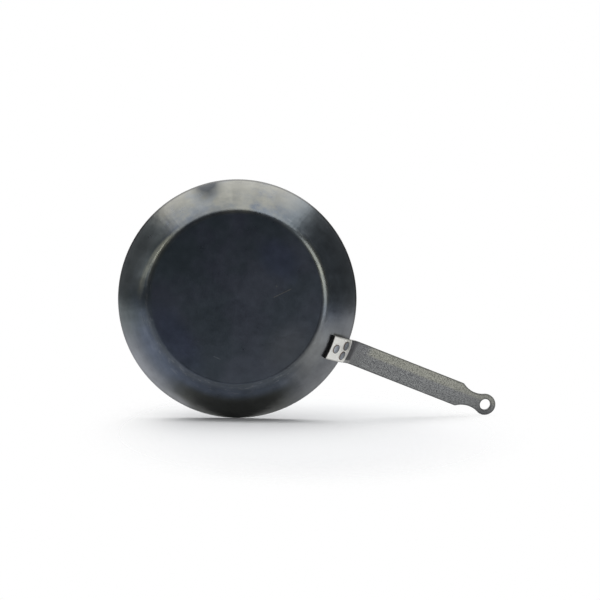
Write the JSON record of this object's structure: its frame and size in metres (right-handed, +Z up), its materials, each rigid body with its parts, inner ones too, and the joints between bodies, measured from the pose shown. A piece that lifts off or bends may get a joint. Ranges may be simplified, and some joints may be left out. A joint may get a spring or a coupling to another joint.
{
  "type": "frying pan",
  "caption": "Round steel frying pan with flared bowed sides and a riveted flat strip handle that rises outwards and ends in a hanging eye.",
  "frame": {"origin": "centre of the flat underside of the base, on the pan's axis", "axes": "+Z up along the pan's axis, +X from the axis towards the handle's lower rivet"},
  "size_m": [0.4703, 0.28, 0.1144],
  "materials": {
    "blued_steel": "heat-blued carbon steel sheet, satin",
    "hammertone_enamel": "grey hammertone enamel on strip steel, foot left bare",
    "rivet_steel": "bare steel, slightly heat-tinted"
  },
  "bodies": {
    "root": {"pan": "blued_steel", "handle": "hammertone_enamel", "rivet_lower": "rivet_steel", "rivet_upper_left": "rivet_steel", "rivet_upper_right": "rivet_steel"}
  },
  "joints": []
}
